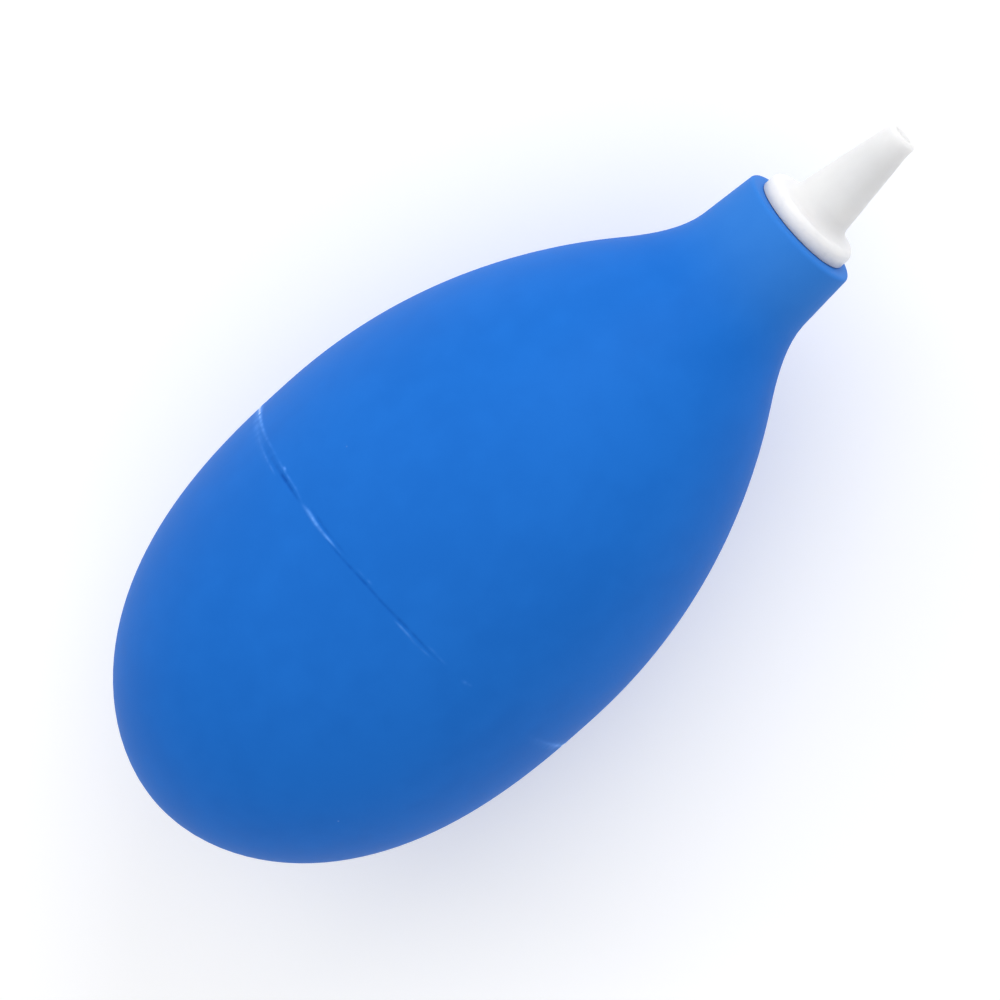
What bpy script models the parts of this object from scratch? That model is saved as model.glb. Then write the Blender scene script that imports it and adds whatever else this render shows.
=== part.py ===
"""Dust blower bulb for watch work: a hollow rubber bulb and the plastic nozzle pushed into it.

Metres, +Z up. The blower lies on its side: its axis runs along X with the nozzle at +X, and the
origin is under the middle of its length, at the level of the surface that it lies on.
"""

import math

import bmesh
import bpy

# Whole blower
LENGTH = 0.090
GIRTH_RADIUS = 0.020
GAP = 0.0003                      # clearance between neighbouring solids
TURN_STEPS = 48                   # facets round the bulb
NOZZLE_STEPS = 32                 # facets round the nozzle
ARC_STEPS = 3                     # facets of a quarter circle in a profile

# Bulb. Places along the axis are in the blower's own frame.
REAR_X = -LENGTH / 2
DOME_LENGTH = 0.0340              # from the rear pole to the widest place
DOME_CURVE = 2.57                 # exponents of the dome's outline; 2 and 2 make an ellipse
DOME_ROOT = 1.91
WIDEST_X = REAR_X + DOME_LENGTH
SHOULDER_LENGTH = 0.0408          # from the widest place to where the shoulder would close
SHOULDER_CURVE = 2.05
SHOULDER_ROOT = 1.18
NECK_END_X = WIDEST_X + 0.0437
NECK_RADIUS = 0.00615             # outside, at the neck's end face
NECK_DRAFT = 0.075                # how much wider the neck gets per unit of length behind it
NECK_FILLET = 0.0029              # how far the shoulder and the neck melt into each other
NECK_EDGE = 0.0006                # rounding of the end face's rim
WALL = 0.0022                     # thickness of the rubber
BORE_RADIUS = 0.0038              # the hole through the neck that takes the nozzle
ROW_DEGREES = 7.5                 # spacing of the outline's points

# The two side areas that the fingers press
PRESS_X = WIDEST_X - 0.0019       # middle of the pressed area
PRESS_HALF_LENGTH = 0.0240
PRESS_HALF_HEIGHT = 0.0130
PRESS_STEPS = 40                  # facets round the area's outline
CUT_START = 0.001                 # a side's cutter starts this far from the middle plane
CUT_END = 0.024                   # and ends outside the bulb

# Nozzle
TIP_X = LENGTH / 2
FLANGE_BACK_X = NECK_END_X + GAP
FLANGE_RADIUS = 0.0049
FLANGE_THICKNESS = 0.0015
FLANGE_EDGE = 0.0006
ROOT_RADIUS = 0.0028              # the tube, where the flange's fillet ends
ROOT_FILLET = 0.0014
TIP_RADIUS = 0.00158
TIP_LENGTH = 0.0011               # the straight end of the tube, in front of its taper
TIP_EDGE = 0.0003
TIP_HOLE_RADIUS = 0.0009
STEM_LENGTH = 0.0090              # the ribbed part inside the neck
STEM_RADIUS = 0.0031
STEM_HOLE_RADIUS = 0.0017
RIB_RADIUS = BORE_RADIUS - GAP
RIB_COUNT = 3
RIB_CREST = 0.35                  # where a rib's crest and foot lie, as shares of its pitch
RIB_START = 0.25


def clear_scene():
    """Take every object out of the scene."""
    for thing in list(bpy.data.objects):
        bpy.data.objects.remove(thing, do_unlink=True)


def new_collection(name):
    """A new collection in the scene."""
    collection = bpy.data.collections.new(name)
    bpy.context.scene.collection.children.link(collection)
    return collection


def new_material(name, colour, roughness):
    """A plain rubber or plastic of one colour."""
    material = bpy.data.materials.new(name)
    material.use_nodes = True
    shader = material.node_tree.nodes["Principled BSDF"]
    shader.inputs["Base Color"].default_value = (*colour, 1.0)
    shader.inputs["Roughness"].default_value = roughness
    shader.inputs["Metallic"].default_value = 0.0
    return material


def arc(centre_x, centre_radius, size, from_degrees, to_degrees):
    """Profile points of an arc; 0 degrees points along +X and 90 away from the axis."""
    points = []
    for step in range(ARC_STEPS + 1):
        degrees = from_degrees + (to_degrees - from_degrees) * step / ARC_STEPS
        across = size * math.cos(math.radians(degrees))
        out = size * math.sin(math.radians(degrees))
        points.append((centre_x + across, centre_radius + out))
    return points


def body_point(degrees):
    """(x, radius) on the bulb's outline without its neck: -90 is the rear pole, 0 the widest."""
    reach = math.sin(math.radians(degrees))
    if degrees < 0:
        length, curve, root = DOME_LENGTH, DOME_CURVE, DOME_ROOT
    else:
        length, curve, root = SHOULDER_LENGTH, SHOULDER_CURVE, SHOULDER_ROOT
    radius = GIRTH_RADIUS * (1 - abs(reach) ** curve) ** (1 / root)
    return WIDEST_X + length * reach, radius


def inside_point(degrees):
    """(x, radius) one wall thickness inside the outline, square to it."""
    x, radius = body_point(degrees)
    next_x, next_radius = body_point(degrees + 0.01)
    run = math.hypot(next_x - x, next_radius - radius)
    return x + WALL * (next_radius - radius) / run, radius - WALL * (next_x - x) / run


def neck_radius(x):
    """Outer radius of the slightly tapered neck."""
    return NECK_RADIUS + NECK_DRAFT * (NECK_END_X - x)


def with_neck(x, radius):
    """The larger of the body's radius and the neck's, with a fillet where they cross."""
    neck = neck_radius(x)
    share = min(1.0, max(0.0, 0.5 + 0.5 * (neck - radius) / NECK_FILLET))
    return radius * (1 - share) + neck * share + NECK_FILLET * share * (1 - share)


def outer_profile():
    """(x, radius) over the outside of the bulb, from the rear pole to the rim of the neck."""
    points = []
    degrees = -90.0
    while degrees < 80:
        x, radius = body_point(degrees)
        points.append((x, with_neck(x, radius) if degrees > 0 else radius))
        degrees += ROW_DEGREES
    rim_radius = neck_radius(NECK_END_X) - NECK_EDGE
    return points + arc(NECK_END_X - NECK_EDGE, rim_radius, NECK_EDGE, 90, 0)


def inner_profile():
    """(x, radius) inside the bulb, from the rear pole to the mouth of the neck's bore."""
    points = [(REAR_X + WALL, 0.0)]
    degrees = ROW_DEGREES - 90
    x, radius = inside_point(degrees)
    while degrees < 0 or radius > BORE_RADIUS:
        points.append((x, radius))
        degrees += ROW_DEGREES
        x, radius = inside_point(degrees)
    last_x, last_radius = points[-1]
    share = (last_radius - BORE_RADIUS) / (last_radius - radius)
    points.append((last_x + share * (x - last_x), BORE_RADIUS))
    points.append((NECK_END_X, BORE_RADIUS))
    return points


def turned(name, profile, closed, steps, origin_x, material, collection):
    """A piece turned round the blower's axis from (x, radius) points.

    The points run towards +X along the inside and back along the outside, so that the faces
    point outwards. The object's own Z axis is the blower's +X."""
    corners = [(radius, 0.0, x - origin_x) for x, radius in profile]
    edges = [(index, index + 1) for index in range(len(corners) - 1)]
    if closed:
        edges.append((len(corners) - 1, 0))
    mesh = bpy.data.meshes.new(name)
    mesh.from_pydata(corners, edges, [])
    mesh.materials.append(material)
    piece = bpy.data.objects.new(name, mesh)
    piece.location = (origin_x, 0.0, GIRTH_RADIUS)
    piece.rotation_euler = (0.0, math.radians(90), 0.0)
    collection.objects.link(piece)
    screw = piece.modifiers.new("turn", "SCREW")
    screw.steps = steps
    screw.render_steps = steps
    screw.use_merge_vertices = True
    screw.merge_threshold = 0.00001
    screw.use_smooth_shade = True
    return piece


def press_cutter(name, from_y, to_y, clearance, collection):
    """An elliptical prism across the bulb, with the outline of the area that a finger presses."""
    shape = bmesh.new()
    bmesh.ops.create_cone(shape, cap_ends=True, segments=PRESS_STEPS, radius1=1.0, radius2=1.0,
                          depth=1.0)
    for corner in shape.verts:
        across, up, along = corner.co
        corner.co.x = across * (PRESS_HALF_LENGTH + clearance)
        corner.co.y = -along * (to_y - from_y)
        corner.co.z = up * (PRESS_HALF_HEIGHT + clearance)
    mesh = bpy.data.meshes.new(name)
    shape.to_mesh(mesh)
    shape.free()
    cutter = bpy.data.objects.new(name, mesh)
    cutter.location = (PRESS_X, (from_y + to_y) / 2, GIRTH_RADIUS)
    cutter.hide_render = True
    cutter.display_type = "WIRE"
    collection.objects.link(cutter)
    return cutter


def cut(piece, cutter, operation):
    """Take the cutter's shape away from the piece, or keep only what is inside it."""
    boolean = piece.modifiers.new("cut", "BOOLEAN")
    boolean.operation = operation
    boolean.solver = "EXACT"
    boolean.object = cutter


def make_bulb(parts, cutters, rubber):
    """The rubber shell, with a window for each of its two pressed areas."""
    shell = inner_profile() + outer_profile()[::-1]
    bulb = turned("bulb", shell, False, TURN_STEPS, PRESS_X, rubber, parts)
    cut(bulb, press_cutter("window_cutter", -CUT_END, CUT_END, GAP, cutters), "DIFFERENCE")


def make_walls(parts, cutters, rubber):
    """The two pressed areas of the same shell, which slide inwards along Y."""
    shell = inner_profile() + outer_profile()[::-1]
    for name, from_y, to_y in (("wall_left", CUT_START, CUT_END),
                               ("wall_right", -CUT_END, -CUT_START)):
        wall = turned(name, shell, False, TURN_STEPS, PRESS_X, rubber, parts)
        cut(wall, press_cutter(name + "_cutter", from_y, to_y, 0.0, cutters), "INTERSECT")


def stem_profile():
    """(x, radius) of the ribbed stem, from the flange's back to the stem's inner end."""
    pitch = STEM_LENGTH / RIB_COUNT
    points = [(FLANGE_BACK_X, STEM_RADIUS)]
    for rib in range(RIB_COUNT):
        rib_x = FLANGE_BACK_X - rib * pitch
        points.append((rib_x - RIB_START * pitch, STEM_RADIUS))
        points.append((rib_x - RIB_CREST * pitch, RIB_RADIUS))
        points.append((rib_x - pitch, STEM_RADIUS))
    return points


def make_nozzle(parts, plastic):
    """The one-piece nozzle: tapered tube, flange on the neck's end face, and ribbed stem."""
    flange_x = FLANGE_BACK_X + FLANGE_THICKNESS
    root_x = flange_x + ROOT_FILLET
    rim_radius = TIP_RADIUS - TIP_EDGE
    flange_rim_radius = FLANGE_RADIUS - FLANGE_EDGE
    outside = [(TIP_X, TIP_HOLE_RADIUS)]
    outside += arc(TIP_X - TIP_EDGE, rim_radius, TIP_EDGE, 0, 90)
    outside.append((TIP_X - TIP_LENGTH, TIP_RADIUS))
    outside += arc(root_x, ROOT_RADIUS + ROOT_FILLET, ROOT_FILLET, 270, 180)
    outside += arc(flange_x - FLANGE_EDGE, flange_rim_radius, FLANGE_EDGE, 0, 90)
    outside.append((FLANGE_BACK_X, FLANGE_RADIUS))
    stem_end_x = FLANGE_BACK_X - STEM_LENGTH
    inside = [(stem_end_x, STEM_HOLE_RADIUS), (root_x, STEM_HOLE_RADIUS),
              (TIP_X - TIP_LENGTH, TIP_HOLE_RADIUS)]
    profile = outside + stem_profile() + inside
    turned("nozzle", profile, True, NOZZLE_STEPS, FLANGE_BACK_X, plastic, parts)


def main():
    """Make the whole blower."""
    clear_scene()
    parts = new_collection("dust_blower")
    cutters = new_collection("cutters")
    rubber = new_material("blue_rubber", (0.015, 0.17, 0.62), 0.5)
    plastic = new_material("white_plastic", (0.85, 0.86, 0.86), 0.4)
    make_bulb(parts, cutters, rubber)
    make_walls(parts, cutters, rubber)
    make_nozzle(parts, plastic)


main()
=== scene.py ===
"""Looks of the dust blower: a hollow blue rubber bulb with a white plastic nozzle in its neck.

Metres, +Z up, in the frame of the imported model: the blower lies along X with its nozzle at +X.
"""

import math

import bpy
import numpy as np
from mathutils import Matrix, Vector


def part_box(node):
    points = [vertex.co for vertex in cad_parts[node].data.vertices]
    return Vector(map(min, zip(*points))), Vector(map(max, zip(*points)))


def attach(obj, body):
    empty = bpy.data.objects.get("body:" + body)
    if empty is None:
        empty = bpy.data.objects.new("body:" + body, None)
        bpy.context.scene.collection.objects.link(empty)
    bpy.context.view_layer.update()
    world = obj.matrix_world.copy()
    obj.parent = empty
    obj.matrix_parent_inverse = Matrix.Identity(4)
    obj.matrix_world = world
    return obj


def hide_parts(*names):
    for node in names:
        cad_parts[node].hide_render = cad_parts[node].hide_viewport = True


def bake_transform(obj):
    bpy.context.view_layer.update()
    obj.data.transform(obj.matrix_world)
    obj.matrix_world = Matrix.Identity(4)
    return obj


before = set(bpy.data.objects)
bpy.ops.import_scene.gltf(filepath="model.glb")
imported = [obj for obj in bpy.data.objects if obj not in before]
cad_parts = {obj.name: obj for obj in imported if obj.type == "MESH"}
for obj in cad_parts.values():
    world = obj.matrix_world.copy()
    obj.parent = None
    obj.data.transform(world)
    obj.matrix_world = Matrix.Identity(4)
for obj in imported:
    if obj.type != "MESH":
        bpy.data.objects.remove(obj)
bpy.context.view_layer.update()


# ---------------------------------------------------------------------------------------------
# Rubber bulb. One hollow moulding of soft satin rubber, an egg with a short neck, open only at
# the neck. It is moulded in two halves of a steel mould that meet round the girth, and where
# they meet the rubber keeps a thin parting line with bits of whitish flash on it.
# ---------------------------------------------------------------------------------------------

bulb_low, bulb_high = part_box("bulb")
rear_x, neck_end_x = bulb_low.x, bulb_high.x
girth_radius = (bulb_high.z - bulb_low.z) / 2
axis_z = (bulb_high.z + bulb_low.z) / 2

dome_length, dome_curve, dome_root = 0.0340, 2.57, 1.91
shoulder_length, shoulder_curve, shoulder_root = 0.0408, 2.05, 1.18
widest_x = rear_x + dome_length
shoulder_stop = 70                    # degrees; in front of this the neck hides the egg
neck_radius, neck_draft, neck_fillet = 0.00615, 0.075, 0.0029
rim_edge, mouth_edge = 0.0004, 0.00025
wall, bore_radius, bore_fillet = 0.0022, 0.0038, 0.0010
bore_stop = 0.0012                    # the bore's last row lies this far behind the end face
close_behind, close_in_front = 0.0015, 0.0007   # how far the close rows reach from the line
half_columns = 330                    # faces round each half of the skin


def egg(angle):
    """x = widest + length * sin(angle), radius = girth * (1 - |sin(angle)| ** curve) ** (1 / root).

    The rear dome (angle < 0) and the shoulder each have their own length, curve and root."""
    reach = np.sin(angle)
    rear = angle < 0
    length = np.where(rear, dome_length, shoulder_length)
    curve = np.where(rear, dome_curve, shoulder_curve)
    root = np.where(rear, dome_root, shoulder_root)
    return widest_x + length * reach, girth_radius * (1 - np.abs(reach) ** curve) ** (1 / root)


def melt(first, second, fillet):
    """The larger of two radii, rounded where they cross: their mix by a share that runs from 0 to
    1 while they differ by less than the fillet, plus fillet * share * (1 - share)."""
    share = np.clip(0.5 + 0.5 * (second - first) / fillet, 0, 1)
    return first * (1 - share) + second * share + fillet * share * (1 - share)


def quarter(centre_x, centre_radius, size, degrees):
    """Points of an arc round (centre_x, centre_radius): 0 degrees along +X, 90 off the axis."""
    turn = np.radians(degrees)
    return centre_x + size * np.cos(turn), centre_radius + size * np.sin(turn)


# The parting line lies in one plane, a little behind the widest place. It is drawn in strokes, each
# a list of (degrees round the girth, place in front of the plane, height, paleness, half width)
# that starts and ends at nothing. Lengths are in millimetres. 0 degrees is at +Y, 90 on top, 180 at
# -Y and 270 underneath. A groove has a height and a paleness below zero: it is darker, and that
# darkness is painted shade in the groove. Round 0 and 180 degrees the paleness is partly painted
# sheen as well as whitish flash.
parting_x = -0.01328
left_ridge = [(285, 0.0, 0, 0, 0.12), (298, 0.05, 0.02, 0.15, 0.12), (312, 0.1, 0.03, 0.35, 0.14),
              (325, 0.0, 0.02, 0.12, 0.12), (345, -0.3, 0.02, 0.5, 0.2), (360, -0.8, 0.025, 0.95, 0.25),
              (364, -0.8, 0.025, 0.88, 0.25), (370, -0.52, 0.02, 0.68, 0.28), (378, -0.38, 0.02, 0.55, 0.18),
              (388, -0.25, 0.02, 0.17, 0.16), (396, -0.05, 0.02, 0.08, 0.14), (404, 0.02, 0.02, 0.13, 0.11),
              (408, 0.06, 0.025, 0.12, 0.12), (412, 0.12, 0.02, 0.14, 0.13), (416, -0.12, 0, 0.05, 0.12),
              (419, -0.12, 0, 0, 0.12)]
flash_streak = [(56, -0.15, 0, 0, 0.14), (58.5, -0.08, 0.02, 0.22, 0.16), (60, -0.05, 0.03, 0.42, 0.18),
                (63, -0.11, 0.03, 0.54, 0.16), (66, -0.09, 0.03, 0.53, 0.14), (70, 0.0, 0.025, 0.42, 0.1),
                (72.5, 0.04, 0.01, 0.1, 0.09), (75, 0.05, 0, 0, 0.08)]
top_ridge = [(95, -0.15, 0, 0, 0.1), (98, -0.15, 0.015, 0.31, 0.11), (100.5, -0.18, 0.015, 0.22, 0.11),
             (103, -0.3, 0.01, 0.06, 0.12), (105, -0.26, 0.01, 0.08, 0.1), (107, -0.22, 0.015, 0.18, 0.1),
             (109, -0.2, 0, 0, 0.1)]
right_ridge = [(152, -0.45, 0, 0, 0.15), (158, -0.5, 0.01, 0.06, 0.16), (163, -0.52, 0.015, 0.2, 0.18),
               (167, -0.57, 0.02, 0.38, 0.2), (172, -0.7, 0.025, 0.72, 0.2), (180, -0.85, 0.025, 0.85, 0.25),
               (192, -0.6, 0.02, 0.5, 0.2), (204, -0.3, 0.02, 0.2, 0.14), (212, -0.15, 0.025, 0.35, 0.12),
               (225, 0.0, 0.015, 0.1, 0.12), (240, 0.1, 0.015, 0.15, 0.12), (256, 0.05, 0.025, 0.4, 0.14),
               (264, 0.0, 0.02, 0.3, 0.13), (276, -0.05, 0.01, 0.05, 0.12), (284, 0.0, 0, 0, 0.12)]
mould_edge = [(20, -0.85, 0, 0, 0.14), (28, -0.95, 0.01, 0.07, 0.13), (33, -0.97, 0.01, 0.06, 0.12),
              (36, -0.95, 0.015, 0.24, 0.13), (38, -0.94, 0.01, 0.1, 0.12), (40.5, -0.92, 0.015, 0.16, 0.11),
              (44, -0.9, 0, 0, 0.1)]
side_groove = [(30, -0.6, 0, 0, 0.25), (36, -0.52, -0.012, -0.25, 0.26), (41, -0.42, -0.02, -0.42, 0.22),
               (44.5, -0.36, -0.025, -0.62, 0.18), (49, -0.27, -0.025, -0.62, 0.18),
               (52.5, -0.26, -0.02, -0.42, 0.15), (56, -0.25, 0, 0, 0.14)]
front_groove = [(58, 0.35, 0, 0, 0.14), (63, 0.3, -0.015, -0.25, 0.15), (66, 0.27, -0.015, -0.36, 0.13),
                (70, 0.32, -0.01, -0.08, 0.12), (73, 0.35, -0.01, -0.2, 0.12), (76, 0.36, 0, 0, 0.12)]
top_groove = [(68, -0.25, 0, 0, 0.1), (73, -0.16, -0.012, -0.28, 0.11), (76, -0.1, -0.015, -0.28, 0.14),
              (81, 0.02, -0.02, -0.48, 0.14), (84, 0.08, -0.02, -0.55, 0.15), (90, 0.08, -0.02, -0.5, 0.14),
              (98, 0.17, -0.02, -0.36, 0.16), (103, 0.16, -0.015, -0.36, 0.13),
              (107, 0.06, -0.015, -0.3, 0.12), (112, 0.05, 0, 0, 0.12)]
# The two hazes are painted sheen: whitish paleness beside the parting line on the sides of the girth, round
# 0 and 180 degrees.
left_painted_sheen = [(325, -0.6, 0, 0, 0.4), (345, -0.7, 0, 0.15, 0.5), (360, -0.8, 0, 0.22, 0.55),
             (378, -0.85, 0, 0.2, 0.45), (388, -1.0, 0, 0.09, 0.42), (400, -1.0, 0, 0, 0.35)]
right_painted_sheen = [(148, -0.5, 0, 0, 0.35), (158, -0.6, 0, 0.08, 0.45), (168, -0.7, 0, 0.26, 0.55),
              (176, -0.75, 0, 0.34, 0.6), (195, -0.5, 0, 0, 0.4)]
parting_strokes = [left_ridge, flash_streak, top_ridge, right_ridge, mould_edge, side_groove,
                   front_groove, top_groove, left_painted_sheen, right_painted_sheen]
# Flecks of flash: (degrees, place, height, paleness, half length round the girth, half width).
parting_flecks = [(44, 0.16, 0.05, 0.62, 0.2, 0.12), (47.4, 0.07, 0.02, 0.12, 0.3, 0.11),
                  (81, 0.36, 0.01, 0.06, 0.4, 0.12), (84, 0.43, 0.015, 0.14, 0.24, 0.13),
                  (107.5, 0.36, 0.01, 0.1, 0.45, 0.12), (111, 0.28, 0.01, 0.08, 0.5, 0.12),
                  (120, 0.2, 0.015, 0.18, 0.22, 0.15), (121.6, 0.3, 0.01, 0.1, 0.18, 0.12),
                  (208, -0.2, 0.03, 0.4, 0.22, 0.14), (256.5, 0.0, 0.03, 0.5, 0.2, 0.13),
                  (259.5, 0.12, 0.02, 0.3, 0.18, 0.12), (312, 0.1, 0.04, 0.6, 0.2, 0.13)]


def round_wave(columns, reach, seed):
    """A smooth random wave round the girth: random numbers averaged over their neighbours."""
    numbers = np.random.default_rng(seed).normal(size=columns)
    weights = np.hanning(2 * reach + 1)
    wave = np.convolve(np.tile(numbers, 3), weights, "same")[columns:2 * columns]
    return wave / wave.std()


def bell(distance, width):
    """exp(-(distance / width) squared)."""
    return np.exp(-(distance / width) ** 2)


def parting_relief(x, degrees):
    """Height and paleness of the parting line at each (x, angle), in millimetres and -1 to 1.

    Each stroke adds its height and its paleness times a bell across it, both uneven along it, and
    each fleck adds a small round bell. Paleness below zero is painted shade in the grooves; round 0
    and 180 degrees it is partly painted sheen as well as whitish flash."""
    columns = degrees.size
    turn = degrees % 360
    behind = 1000 * (x[:, None] - parting_x)
    height = np.zeros((x.size, columns))
    pallor = np.zeros((x.size, columns))
    for number, stroke in enumerate(parting_strokes):
        knots = np.array(stroke)
        place, rise, pale, width = [np.interp(turn, knots[:, 0], column, period=360)
                                    for column in knots[:, 1:].T]
        uneven = 1 + 0.22 * round_wave(columns, 2, 2 * number)
        uneven += 0.12 * round_wave(columns, 17, 2 * number + 1)
        across = bell(behind - place, width) * np.clip(uneven, 0.4, 1.5)
        height += rise * across
        pallor += pale * across
    for fleck_degrees, place, rise, pale, length, width in parting_flecks:
        along = girth_radius * 1000 * np.radians((turn - fleck_degrees + 180) % 360 - 180)
        spot = bell(along[None, :], length) * bell(behind - place, width)
        height += rise * spot
        pallor += pale * spot
    return height, np.clip(pallor, -1, 1)


def skin_rows():
    """Outer and inner (x, radius) rows of the wall, from the rear pole to the neck's end face.

    The outside is the egg melted into the tapered neck; the inside is the egg moved in by the
    wall's thickness, melted into the bore. Rows lie 0.05 mm apart on the parting line. The end
    face's rim and the bore's mouth are arcs that go on from the last of these rows."""
    angle = np.radians(np.linspace(-90, shoulder_stop, 4000))
    x, radius = egg(angle)
    step_x, step_radius = np.gradient(x), np.gradient(radius)
    step = np.hypot(step_x, step_radius)
    inside_x = x + wall * step_radius / step
    inside = melt(np.maximum(radius - wall * step_x / step, 0), bore_radius, bore_fillet)
    inside = np.where(x < widest_x, radius - wall * step_x / step, inside)
    inside[0] = 0.0
    neck_x = np.linspace(x[-1], neck_end_x - rim_edge, 60)[1:]
    bore_x = np.linspace(inside_x[-1], neck_end_x - bore_stop, 60)[1:]
    x = np.append(x, neck_x)
    outside = melt(np.append(radius, np.zeros_like(neck_x)),
                   neck_radius + neck_draft * (neck_end_x - x), neck_fillet)
    outside = np.where(x > widest_x, outside, np.append(radius, np.zeros_like(neck_x)))
    inside_x = np.append(inside_x, bore_x)
    inside = np.append(inside, np.full_like(bore_x, bore_radius))

    length = np.append(0, np.cumsum(np.hypot(np.diff(x), np.diff(outside))))
    line = np.interp(parting_x, x, length)
    close_start, close_end = line - close_behind, line + close_in_front
    places = np.concatenate([np.linspace(0, close_start, 36, endpoint=False),
                             np.linspace(close_start, close_end, 44, endpoint=False),
                             np.linspace(close_end, length[-1], 54)])
    rows = [np.interp(places, length, value) for value in (x, outside, inside_x, inside)]

    rim_centre = rows[1][-1] - rim_edge
    rim_x, rim = quarter(neck_end_x - rim_edge, rim_centre, rim_edge, np.linspace(78, 0, 7))
    mouth_x, mouth = quarter(neck_end_x - mouth_edge, bore_radius + mouth_edge, mouth_edge,
                             np.linspace(270, 360, 7))
    outer = np.stack([np.append(rows[0], rim_x), np.append(rows[1], rim)])
    inner = np.stack([np.append(rows[2], mouth_x), np.append(rows[3], mouth)])
    return outer, inner, places.size


def grid_faces(first, rows, columns):
    """Four corners of each face of a grid of points numbered row by row from first."""
    corner = first + np.arange((rows - 1) * columns).reshape(rows - 1, columns)[:, :-1].ravel()
    return np.stack([corner, corner + 1, corner + columns + 1, corner + columns], 1)


def make_mesh(name, points, faces, corner_normals):
    """A smooth mesh of points and faces, with the given normal at each corner of each face."""
    mesh = bpy.data.meshes.new(name)
    mesh.from_pydata(points, [], faces)
    mesh.polygons.foreach_set("use_smooth", np.ones(len(mesh.polygons), bool))
    mesh.normals_split_custom_set(corner_normals)
    piece = bpy.data.objects.new(name, mesh)
    bpy.context.scene.collection.objects.link(piece)
    return piece


def turned_normals(points):
    """Normals of a grid that closes round the blower's axis: the cross product of its two slopes,
    each slope down the rows allowing for the rows' unequal steps."""
    steps = np.linalg.norm(np.diff(points[:, 0], axis=0), axis=1)
    down = np.gradient(points, np.append(0, np.cumsum(steps)), axis=0)
    round_ = np.roll(points, -1, axis=1) - np.roll(points, 1, axis=1)
    normals = np.cross(round_, down)
    size = np.linalg.norm(normals, axis=2, keepdims=True)
    return normals / np.maximum(size, 1e-15)


outer_rows, inner_rows, outline_rows = skin_rows()
loop_x = np.append(outer_rows[0], inner_rows[0][::-1])
loop_radius = np.append(outer_rows[1], inner_rows[1][::-1])
round_degrees = -90 + 180 * np.arange(2 * half_columns) / half_columns
relief, pallor = parting_relief(outer_rows[0][:outline_rows], round_degrees)
skin_radius = np.repeat(loop_radius[:, None], 2 * half_columns, axis=1)
skin_radius[:outline_rows] += relief / 1000
skin_pallor = np.zeros_like(skin_radius)
skin_pallor[:outline_rows] = pallor
skin = np.stack([np.repeat(loop_x[:, None], 2 * half_columns, axis=1),
                 skin_radius * np.cos(np.radians(round_degrees)),
                 axis_z + skin_radius * np.sin(np.radians(round_degrees))], 2)
skin_normals = turned_normals(skin)
skin_normals[0], skin_normals[-1] = (-1, 0, 0), (1, 0, 0)


def skin_half(name, first_column, side):
    """Half of the skin, closed along the middle plane by the wall's own thickness.

    The grid's first and last rows are the outer and the inner rear pole, one point each. Row i
    of the outside and row i of the inside are joined by a face across the wall."""
    columns = np.arange(first_column, first_column + half_columns + 1) % (2 * half_columns)
    rows = loop_x.size
    width = columns.size
    body = skin[1:-1][:, columns].reshape(-1, 3)
    body[np.tile(np.isin(np.arange(width), (0, width - 1)), rows - 2), 1] = 0.0
    points = np.concatenate([skin[:1, 0], body, skin[-1:, 0]])
    normals = np.concatenate([skin_normals[:1, 0], skin_normals[1:-1][:, columns].reshape(-1, 3),
                              skin_normals[-1:, 0]])
    pale = np.concatenate([[0], skin_pallor[1:-1][:, columns].ravel(), [0]])
    last = points.shape[0] - 1
    quads = grid_faces(1, rows - 2, width)
    near = 1 + np.arange(width - 1)
    far = near + (rows - 3) * width
    caps = np.concatenate([np.stack([np.zeros_like(near), near + 1, near], 1),
                           np.stack([far, far + 1, np.full_like(far, last)], 1)])
    half = rows // 2
    outside = 1 + np.arange(half - 1) * width
    inside = 1 + (rows - 3 - np.arange(half - 1)) * width
    cut = []
    for column, order in ((0, -1), (width - 1, 1)):
        out, into = np.append(0, outside + column), np.append(last, inside + column)
        cut.append(np.stack([out[:-1], into[:-1], into[1:], out[1:]], 1)[:, ::order])
    cut = np.concatenate(cut)
    faces = quads.tolist() + caps.tolist() + cut.tolist()
    corners = np.concatenate([normals[quads].reshape(-1, 3), normals[caps].reshape(-1, 3),
                              np.tile((0.0, -side, 0.0), (cut.size, 1))])
    piece = make_mesh(name, points, faces, corners)
    piece.data.attributes.new("pallor", "FLOAT", "POINT").data.foreach_set("value", pale)
    return piece


skin_left = skin_half("bulb_skin_left", 0, 1.0)
skin_right = skin_half("bulb_skin_right", half_columns, -1.0)


class Wire:
    """A node's output. Adding, taking away or multiplying wires and numbers adds Math nodes."""

    def __init__(self, socket):
        self.socket = socket

    def node(self, kind, settings=None, inputs=None, output=0):
        """A new node in the same tree: its settings, then a value or a wire for each input."""
        tree = self.socket.id_data
        made = tree.nodes.new(kind)
        for name, value in (settings or {}).items():
            setattr(made, name, value)
        for name, value in (inputs or {}).items():
            if isinstance(value, Wire):
                tree.links.new(value.socket, made.inputs[name])
            else:
                made.inputs[name].default_value = value
        return Wire(made.outputs[output])

    def maths(self, operation, first, second):
        return self.node("ShaderNodeMath", {"operation": operation}, {0: first, 1: second})

    def __add__(self, other):
        return self.maths("ADD", self, other)

    def __sub__(self, other):
        return self.maths("SUBTRACT", self, other)

    def __rsub__(self, other):
        return self.maths("SUBTRACT", other, self)

    def __mul__(self, other):
        return self.maths("MULTIPLY", self, other)

    __radd__, __rmul__ = __add__, __mul__

    def noise(self, scale, detail=2.0):
        """Smooth noise about 0.5 with features about 1 / scale metres across."""
        return self.node("ShaderNodeTexNoise", {}, {"Vector": self, "Scale": scale, "Detail": detail})

    def ease(self, start, end):
        """0 before start, 1 after end, and a smooth step between them."""
        return self.node("ShaderNodeMapRange", {"interpolation_type": "SMOOTHSTEP"},
                         {"Value": self, "From Min": start, "From Max": end})

    def mix(self, first, second):
        """A colour mixed by this wire: the first at 0, the second at 1."""
        return self.node("ShaderNodeMix", {"data_type": "RGBA"}, {0: self, 6: first, 7: second}, 2)


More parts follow.
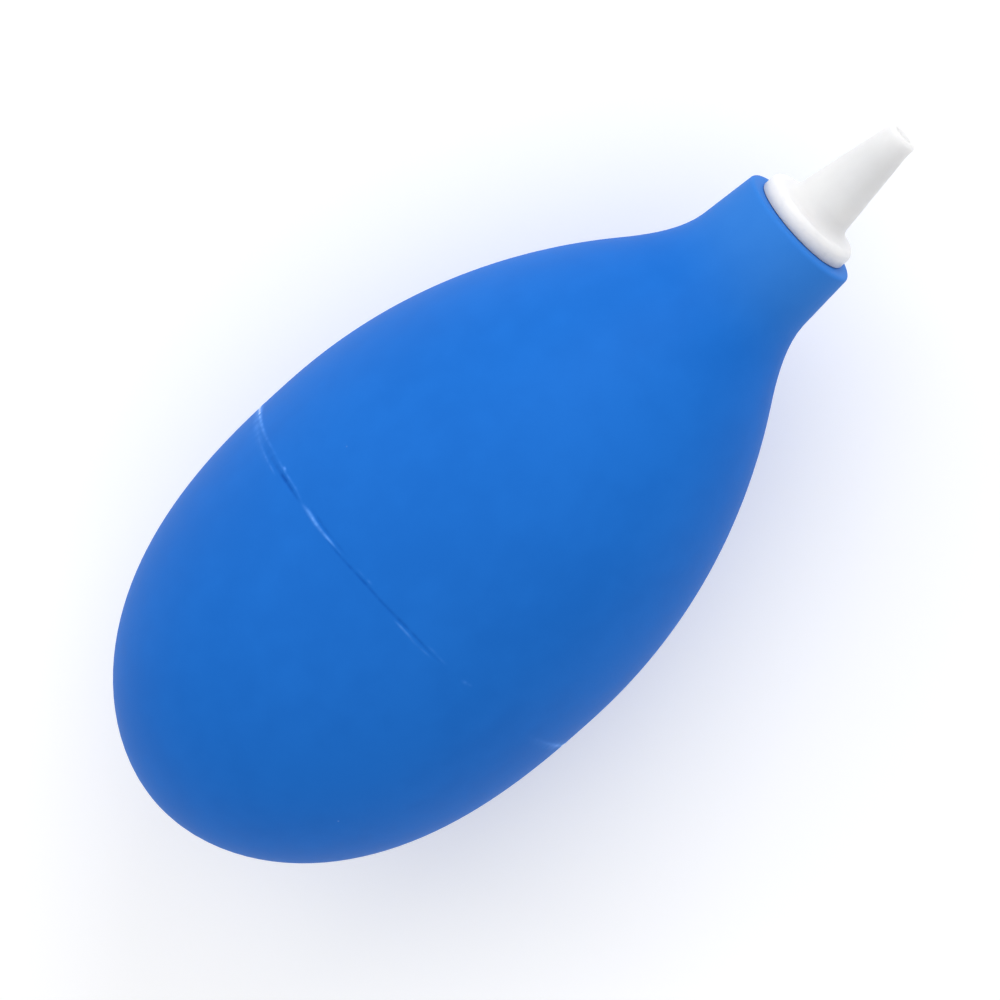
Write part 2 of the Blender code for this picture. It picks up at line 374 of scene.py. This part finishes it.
def new_finish(name, constants):
    """A material, the wire of its Object coordinates, and its Principled shader's node."""
    material = bpy.data.materials.new(name)
    material.use_nodes = True
    tree = material.node_tree
    shader = tree.nodes["Principled BSDF"]
    for socket, value in constants.items():
        shader.inputs[socket].default_value = value
    place = Wire(tree.nodes.new("ShaderNodeTexCoord").outputs["Object"])
    return material, place, shader


def plug(shader, **wires):
    """Link wires to the shader's sockets, written with _ for a space."""
    for name, wire in wires.items():
        shader.id_data.links.new(wire.socket, shader.inputs[name.replace("_", " ")])


rubber_blue = (0.0115, 0.154, 0.600, 1)
rubber_deep = (0.0098, 0.142, 0.566, 1)
rubber_pale_flash_and_sheen = (0.13, 0.38, 0.97, 1)
rubber_white_flash_and_sheen = (0.55, 0.66, 0.92, 1)
rubber_lighter_neck_end = (0.032, 0.196, 0.640, 1)
rubber_groove_shade = (0.0020, 0.080, 0.41, 1)
rubber_scuff = (0.014, 0.175, 0.61, 1)
dust_grey = (0.16, 0.32, 0.66, 1)

rubber, place, shader = new_finish("satin_rubber", {"Specular IOR Level": 0.05})
flash_sheen_groove_shade = place.node("ShaderNodeAttribute", {"attribute_name": "pallor"}, {}, 2)
clouds = place.noise(70, 3)
blotches = place.noise(310, 4)
grain = place.noise(9000, 2)
pebble = place.noise(1900, 3)
scuffs = place.noise(45, 2).ease(0.60, 0.74) * place.noise(900, 5).ease(0.52, 0.66)
dust_cell = place.node("ShaderNodeTexVoronoi", {"feature": "F1"},
                       {"Vector": place, "Scale": 420.0, "Randomness": 1.0}, 0)
dust_pick = place.node("ShaderNodeTexVoronoi", {"feature": "F1"},
                       {"Vector": place, "Scale": 420.0, "Randomness": 1.0}, 1)
dust_luck = place.node("ShaderNodeSeparateColor", {}, {"Color": dust_pick})
dust = (1 - dust_cell.ease(0.025, 0.06)) * dust_luck.ease(0.93, 0.96)
flash_and_sheen_mask = flash_sheen_groove_shade * (0.7 + 0.6 * place.noise(5200, 2))
neck = place.node("ShaderNodeSeparateXYZ", {}, {"Vector": place}).ease(neck_end_x - 0.011,
                                                                      neck_end_x - 0.001)

colour = (clouds * 0.6 + blotches * 0.4).ease(0.36, 0.64).mix(rubber_deep, rubber_blue)
# The neck's last centimetre turns a lighter blue, patchy with the blotches.
colour = (neck * (0.75 + 0.5 * blotches)).mix(colour, rubber_lighter_neck_end)
colour = (scuffs * 0.35).mix(colour, rubber_scuff)
colour = (dust * 0.5).mix(colour, dust_grey)
# Below zero the paleness paints shade into the grooves of the parting line.
colour = (0 - flash_sheen_groove_shade).mix(colour, rubber_groove_shade)
# Above zero the paleness is whitish flash and, round 0 and 180 degrees, painted sheen; above 0.6 it goes to
# near white.
colour = flash_and_sheen_mask.mix(colour, rubber_pale_flash_and_sheen)
colour = flash_sheen_groove_shade.ease(0.6, 1.0).mix(colour, rubber_white_flash_and_sheen)
rough = 0.47 + 0.05 * clouds + 0.06 * blotches + 0.10 * scuffs
relief_height = 0.55 * grain + 0.45 * pebble + 0.5 * dust
bumps = place.node("ShaderNodeBump", {}, {"Strength": 0.35, "Distance": 0.00003,
                                          "Height": relief_height})
plug(shader, Base_Color=colour, Roughness=rough, Normal=bumps)

for skin_piece, side_body, side in ((skin_left, "left_wall", 1), (skin_right, "right_wall", -1)):
    skin_piece.data.materials.append(rubber)
    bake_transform(skin_piece)
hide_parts("bulb", "wall_left")
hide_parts("bulb", "wall_right")


# ---------------------------------------------------------------------------------------------
# Nozzle. One injection moulding of white polyethylene: a tapered tube, a rounded flange that
# rests on the neck's end face, and a ribbed stem that the neck's rubber grips. An air hole runs
# right through it, and two faint mould lines run along its sides.
# ---------------------------------------------------------------------------------------------

nozzle_low, nozzle_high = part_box("nozzle")
stem_end_x, tip_x = nozzle_low.x, nozzle_high.x
flange_radius = (nozzle_high.z - nozzle_low.z) / 2
flange_gap, flange_reach, flange_edge, back_edge = 0.00006, 0.0018, 0.00065, 0.0001
flange_back_x, flange_front_x = neck_end_x + flange_gap, neck_end_x + flange_reach
root_radius, root_fillet = 0.0028, 0.0014
tip_radius, tip_length, tip_edge, tip_hole_edge = 0.00158, 0.0011, 0.00036, 0.00012
tip_hole, stem_hole, stem_radius, stem_edge = 0.0009, 0.0017, 0.0031, 0.00015
rib_radius, rib_count = 0.0035, 3
seat_radius, stem_flare = 0.85 * flange_radius, 0.0002
mould_height, mould_width = 0.00003, 2.2        # metres, degrees
nozzle_columns = 144


def nozzle_rows():
    """(x, radius) once round the nozzle's wall: out over the tip, back over the taper, the fillet,
    the flange and the ribbed stem, and out again through the air hole. A rib rises by a straight
    barb and falls back in a short slope."""
    hole_x, hole = quarter(tip_x - tip_hole_edge, tip_hole + tip_hole_edge, tip_hole_edge,
                           np.linspace(270, 360, 5))
    edge_x, edge = quarter(tip_x - tip_edge, tip_radius - tip_edge, tip_edge, np.linspace(0, 90, 9))
    root_x = flange_front_x + root_fillet
    taper_x = np.linspace(tip_x - tip_edge, root_x, 42)[1:-1]
    taper = np.interp(taper_x, [root_x, tip_x - tip_length, tip_x], [root_radius, tip_radius, tip_radius])
    fillet_x, fillet = quarter(root_x, root_radius + root_fillet, root_fillet, np.linspace(270, 180, 11))
    rim_x, rim = quarter(flange_front_x - flange_edge, flange_radius - flange_edge, flange_edge,
                         np.linspace(0, 90, 9))
    back_x, back = quarter(flange_back_x + back_edge, flange_radius - back_edge, back_edge,
                           np.linspace(90, 180, 5))
    pitch = (flange_back_x - stem_end_x) / rib_count
    along = np.linspace(0, 1, 10)
    barb = stem_radius + (rib_radius - stem_radius) * np.interp(along, [0, 0.25, 0.38, 1], [0, 0, 1, 0])
    rib_x = (flange_back_x - (np.arange(rib_count)[:, None] + along[None, 1:]) * pitch).ravel()
    ribs = np.tile(barb[1:], rib_count)
    stem_x = np.append([flange_back_x, flange_back_x, flange_back_x], rib_x[:-1])
    stem = np.append([seat_radius, stem_radius + stem_flare, stem_radius], ribs[:-1])
    end_x, end = quarter(stem_end_x + stem_edge, stem_radius - stem_edge, stem_edge,
                         np.linspace(90, 180, 5))
    inlet_x, inlet = quarter(stem_end_x + stem_edge, stem_hole + stem_edge, stem_edge,
                             np.linspace(180, 270, 5))
    air_x = np.linspace(stem_end_x + 0.0006, tip_x - tip_hole_edge, 30)[:-1]
    air = np.interp(air_x, [stem_end_x, root_x, tip_x - tip_length], [stem_hole, stem_hole, tip_hole])
    x = np.concatenate([hole_x, edge_x, taper_x, fillet_x, rim_x, back_x, stem_x, end_x, inlet_x, air_x])
    radius = np.concatenate([hole, edge, taper, fillet, rim, back, stem, end, inlet, air])
    return x[::-1], radius[::-1]


nozzle_x, nozzle_profile = nozzle_rows()
turn = 2 * np.pi * np.arange(nozzle_columns) / nozzle_columns
mould_line = mould_height * bell(np.degrees((turn + np.pi / 2) % np.pi - np.pi / 2), mould_width)
# The mould lines are on the outside, in front of the neck and clear of the air hole's edge.
shown = (nozzle_x > flange_back_x) & (nozzle_profile > tip_hole + tip_hole_edge + 0.0001)
shown &= nozzle_profile > np.interp(nozzle_x, [flange_front_x, tip_x], [stem_hole, tip_hole]) + 0.0004
nozzle_radius = nozzle_profile[:, None] + np.where(shown, 1, 0)[:, None] * mould_line[None, :]
rows = nozzle_x.size
nozzle_points = np.stack([np.repeat(nozzle_x[:, None], nozzle_columns, axis=1),
                          nozzle_radius * np.cos(turn), axis_z + nozzle_radius * np.sin(turn)], 2)
corner = np.arange(rows * nozzle_columns).reshape(rows, nozzle_columns)
below, beside = np.roll(corner, -1, axis=0), np.roll(corner, -1, axis=1)
nozzle_faces = np.stack([corner, beside, np.roll(below, -1, axis=1), below], 2).reshape(-1, 4)
wrapped = np.concatenate([nozzle_points[-1:], nozzle_points, nozzle_points[:1]])
nozzle_normals = turned_normals(wrapped)[1:-1].reshape(-1, 3)
nozzle = make_mesh("nozzle_moulding", nozzle_points.reshape(-1, 3), nozzle_faces.tolist(),
                   nozzle_normals[nozzle_faces].reshape(-1, 3))

plastic_white = (0.83, 0.82, 0.82, 1)
plastic_shade = (0.80, 0.79, 0.795, 1)
plastic_near_neck_grey = (0.66, 0.67, 0.70, 1)
plastic, place, shader = new_finish("satin_plastic", {
    "Specular IOR Level": 0.4, "Subsurface Weight": 0.85, "Subsurface Scale": 0.004,
    "Subsurface Radius": (1.0, 0.95, 0.9)})
clouds = place.noise(260, 3)
scratches = place.node("ShaderNodeMapping", {}, {"Vector": place, "Scale": (0.12, 1, 1)}).noise(5200, 3)
near_neck_patches = place.noise(1400, 4).ease(0.5, 0.75) * (1 - place.node(
    "ShaderNodeSeparateXYZ", {}, {"Vector": place}).ease(neck_end_x + 0.0004, neck_end_x + 0.0022))
colour = clouds.ease(0.35, 0.65).mix(plastic_shade, plastic_white)
# Next to the neck's end, on the flange and the tube's root, patches go a darker bluish grey.
colour = (near_neck_patches * 0.35).mix(colour, plastic_near_neck_grey)
rough = 0.36 + 0.08 * clouds + 0.08 * scratches
bumps = place.node("ShaderNodeBump", {}, {"Strength": 0.25, "Distance": 0.00002,
                                          "Height": 0.6 * scratches + 0.4 * place.noise(7000, 2)})
plug(shader, Base_Color=colour, Roughness=rough, Normal=bumps)
nozzle.data.materials.append(plastic)
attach(nozzle, "nozzle")
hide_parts("nozzle")


# ---------------------------------------------------------------------------------------------
# Studio. A plain near-white table top under soft white light from all round, brighter from the
# left of the nozzle, and a long lens almost straight above that sees the nozzle tilt towards it.
# ---------------------------------------------------------------------------------------------

table_half = 1.5
table_mesh = bpy.data.meshes.new("table_top")
table_mesh.from_pydata([(-table_half, -table_half, -0.0002), (table_half, -table_half, -0.0002),
                        (table_half, table_half, -0.0002), (-table_half, table_half, -0.0002)],
                       [], [(0, 1, 2, 3)])
table_top = bpy.data.objects.new("table_top", table_mesh)
bpy.context.scene.collection.objects.link(table_top)
paper = new_finish("white_paper", {
    "Base Color": (0.9, 0.9, 0.9, 1), "Roughness": 0.9, "Specular IOR Level": 0.1,
    "Emission Color": (1, 1, 1, 1), "Emission Strength": 0.2})[0]
table_mesh.materials.append(paper)

world = bpy.data.worlds.new("soft_white_room")
world.use_nodes = True
room = world.node_tree.nodes["Background"]
room.inputs["Color"].default_value = (1, 1, 1, 1)
direction = Wire(world.node_tree.nodes.new("ShaderNodeTexCoord").outputs["Generated"])
height = direction.node("ShaderNodeSeparateXYZ", {}, {"Vector": direction}, 2)
plug(room, Strength=0.47 + 0.5 * height.ease(0.45, 0.75))
bpy.context.scene.world = world


def softbox(name, place, size, power):
    """A square soft light that looks at the middle of the blower."""
    lamp = bpy.data.lights.new(name, "AREA")
    lamp.size = size
    lamp.energy = power
    box = bpy.data.objects.new(name, lamp)
    bpy.context.scene.collection.objects.link(box)
    box.location = place
    back = box.location.copy()
    back.z -= axis_z
    box.rotation_euler = back.to_track_quat("Z", "Y").to_euler()


softbox("nozzle_softbox", (0.74, 0.3, 0.45), 0.6, 3.4)
softbox("left_softbox", (-0.1, 0.74, 0.45), 0.6, 1.3)

view_tilt, view_turn = math.radians(13.0), math.radians(41.895)
view_distance, view_width = 1.8, 0.08792        # metres; the width is at the blower's axis
view_centre = np.array((-0.003837, -0.000208, axis_z))
away = np.array((math.sin(view_tilt), 0, math.cos(view_tilt)))
along, across = np.array((math.cos(view_tilt), 0, -math.sin(view_tilt))), np.array((0, 1.0, 0))
right = math.cos(view_turn) * along - math.sin(view_turn) * across
up = math.sin(view_turn) * along + math.cos(view_turn) * across
lens = bpy.data.cameras.new("long_lens")
lens.sensor_width = 36.0
lens.lens = lens.sensor_width * view_distance / view_width
lens.clip_start, lens.clip_end = 0.05, 20.0
camera = bpy.data.objects.new("camera", lens)
bpy.context.scene.collection.objects.link(camera)
turned = Matrix(np.stack([right, up, away], 1).tolist()).to_4x4()
camera.matrix_world = Matrix.Translation((view_centre + view_distance * away).tolist()) @ turned
bpy.context.scene.camera = camera
bpy.context.scene.view_settings.view_transform = "Standard"

bpy.context.view_layer.update()
